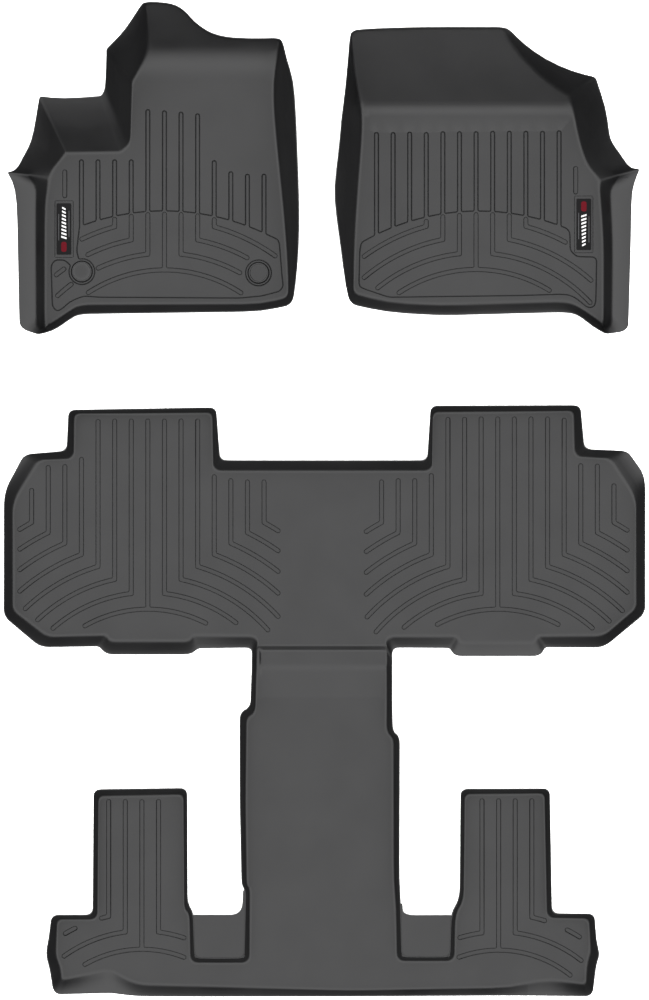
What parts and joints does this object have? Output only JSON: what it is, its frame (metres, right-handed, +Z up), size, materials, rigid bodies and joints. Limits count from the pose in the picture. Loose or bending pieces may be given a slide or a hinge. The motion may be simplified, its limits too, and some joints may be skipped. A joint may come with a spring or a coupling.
{
  "type": "floor mat set",
  "caption": "Moulded floor liners for a three-row vehicle: raised-edge trays for both front footwells and one for the rear rows, with drainage channels, plain badges and floor retainers.",
  "frame": {"origin": "middle of the set's bounding box, on the surface that all three liners lie on", "axes": "+X to the vehicle's right, +Y to the front of the vehicle, +Z up out of the trays"},
  "size_m": [1.502, 2.319, 0.1688],
  "materials": {
    "liner": "matt black thermoplastic elastomer with a fine grain",
    "badge_plate": "black plate with light and red bars",
    "badge_pad": "adhesive foam",
    "retainer": "black moulded nylon"
  },
  "bodies": {
    "rear": {"rear_liner": "liner"},
    "driver": {"driver_liner": "liner", "driver_badge_pad": "badge_pad", "driver_badge_plate": "badge_plate", "left_retainer_cap": "retainer", "left_retainer_ring": "retainer", "right_retainer_cap": "retainer", "right_retainer_ring": "retainer"},
    "passenger": {"passenger_liner": "liner", "passenger_badge_pad": "badge_pad", "passenger_badge_plate": "badge_plate"}
  },
  "joints": [
    {"name": "driver_lift", "type": "slide", "parent": "rear", "child": "driver", "axis": [0, 0, 1], "range_m": [0, 0.3]},
    {"name": "passenger_lift", "type": "slide", "parent": "rear", "child": "passenger", "axis": [0, 0, 1], "range_m": [0, 0.3]}
  ]
}
